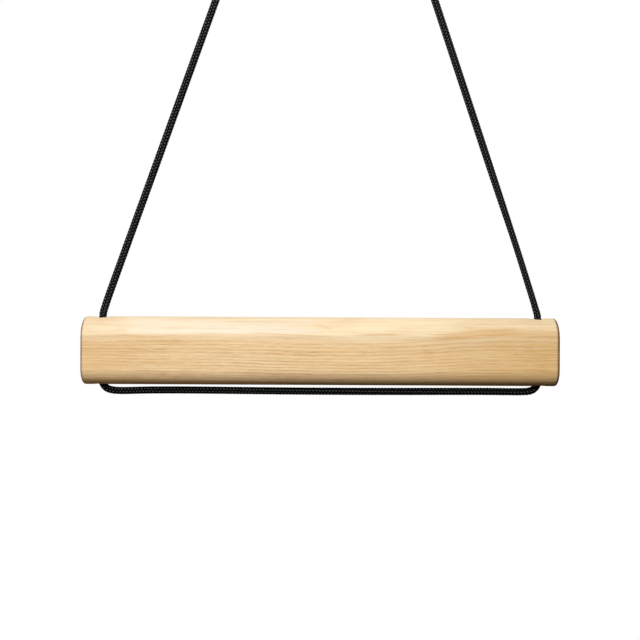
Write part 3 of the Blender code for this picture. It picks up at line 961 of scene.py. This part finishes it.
def make_cords():
    """One cord in three lengths: each strand with its knot, and the run that the bar holds."""
    braid = braid_material()
    left, left_length = even_points(strand_route(-1)[::-1])
    run, run_length = even_points(run_route())
    right, right_length = even_points(strand_route(1))
    print(f"cord: {left_length:.3f} + {run_length:.3f} + {right_length:.3f} m")
    run_first = len(left) - 1
    right_first = run_first + len(run) - 1
    left_turns = turn_of(LEFT_TURNS, left[:, 2] - BAR_TOP)
    run_turns = turn_of(RUN_TURNS, np.linspace(0, 1, len(run)))
    right_turns = np.radians(np.linspace(*RIGHT_TURNS, len(right)))
    low_run = braided_tube("cord_run", run, np.full(len(run), RUN_CROWN), run_first, run_turns, braid)
    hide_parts("cord_lower_run")
    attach(low_run, "bar")
    for name, side, points, first, turns, length, sealed in (
        ("left", -1, left, 0, left_turns, left_length, "start"),
        ("right", 1, right, right_first, right_turns, right_length, "end"),
    ):
        crown = np.interp(points[:, 2] - BAR_TOP, *zip(*CROWNS[side]))
        cord = braided_tube(f"cord_{name}", points, crown, first, turns, braid, sealed)
        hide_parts(f"cord_{name}_strand", f"cord_{name}_knot")
        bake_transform(cord)


def make_camera():
    """Level, straight in front of the bar, and turned a quarter of a degree as the photograph is."""
    edge = FRONT + END_RADIUS
    scale = BAR_LENGTH / BAR_PIXELS
    focal = (CAMERA_DISTANCE + edge) / scale
    data = bpy.data.cameras.new("camera")
    data.sensor_width = SENSOR_WIDTH
    data.lens = SENSOR_WIDTH * focal / PHOTO
    data.dof.use_dof = False
    camera = bpy.data.objects.new("camera", data)
    bpy.context.scene.collection.objects.link(camera)
    right = (PHOTO / 2 - BAR_MIDDLE_PIXEL[0]) * scale
    above = (BAR_MIDDLE_PIXEL[1] - PHOTO / 2) * scale
    camera.location = (
        right * math.cos(BAR_TURN) - above * math.sin(BAR_TURN),
        -CAMERA_DISTANCE,
        BAR_Z + above * math.cos(BAR_TURN) + right * math.sin(BAR_TURN),
    )
    camera.rotation_euler = (math.pi / 2, -BAR_TURN, 0)
    bpy.context.scene.camera = camera


def make_softbox(name, azimuth, elevation, distance, width, height, power, colour):
    """A light that looks at the middle of the bar, and that the camera doesn't see."""
    data = bpy.data.lights.new(name, "AREA")
    data.shape = "RECTANGLE"
    data.size, data.size_y = width, height
    data.energy = power
    data.color = colour
    light = bpy.data.objects.new(name, data)
    light.visible_camera = False
    bpy.context.scene.collection.objects.link(light)
    a, e = math.radians(azimuth), math.radians(elevation)
    away = Vector((math.sin(a) * math.cos(e), -math.cos(a) * math.cos(e), math.sin(e)))
    light.location = Vector((0, 0, BAR_Z)) + away * distance
    light.rotation_euler = away.to_track_quat("Z", "Y").to_euler()


def make_background():
    """White to the camera, and almost no light on the part."""
    world = bpy.data.worlds.new("studio")
    bpy.context.scene.world = world
    world.use_nodes = True
    tree = world.node_tree
    back = tree.nodes["Background"]
    seen = tree.nodes.new("ShaderNodeLightPath")
    share = tree.nodes.new("ShaderNodeMapRange")
    share.inputs["To Min"].default_value = BACKGROUND_LIGHT
    share.inputs["To Max"].default_value = 1.0
    tree.links.new(seen.outputs["Is Camera Ray"], share.inputs["Value"])
    tree.links.new(share.outputs[0], back.inputs["Strength"])
    back.inputs["Color"].default_value = (*WHITE, 1.0)


def make_floor():
    """A plain pale disc well below the view, which throws no light back on the part."""
    paint = Nodes("floor")
    grain = paint.noise(paint.add("ShaderNodeTexCoord", {}).outputs["Object"], 60.0, 3.0, 0.5)
    paint.join(paint.mix(grain, *FLOOR_COLOURS), paint.shader.inputs["Base Color"])
    paint.shader.inputs["Roughness"].default_value = 0.9
    turns = np.linspace(0, 2 * math.pi, FLOOR_SIDES + 1)[:-1]
    ring = [(FLOOR_RADIUS * math.cos(turn), FLOOR_RADIUS * math.sin(turn)) for turn in turns]
    disc = loft("floor", [[(x, y, z) for x, y in ring] for z in FLOOR_HEIGHTS], paint.material)
    disc.visible_diffuse = disc.visible_glossy = False


make_camera()
make_cords()
make_bar(Ash().material)
for softbox, values in SOFTBOXES.items():
    make_softbox(softbox, *values)
make_background()
make_floor()
bpy.context.scene.view_settings.view_transform = "Standard"
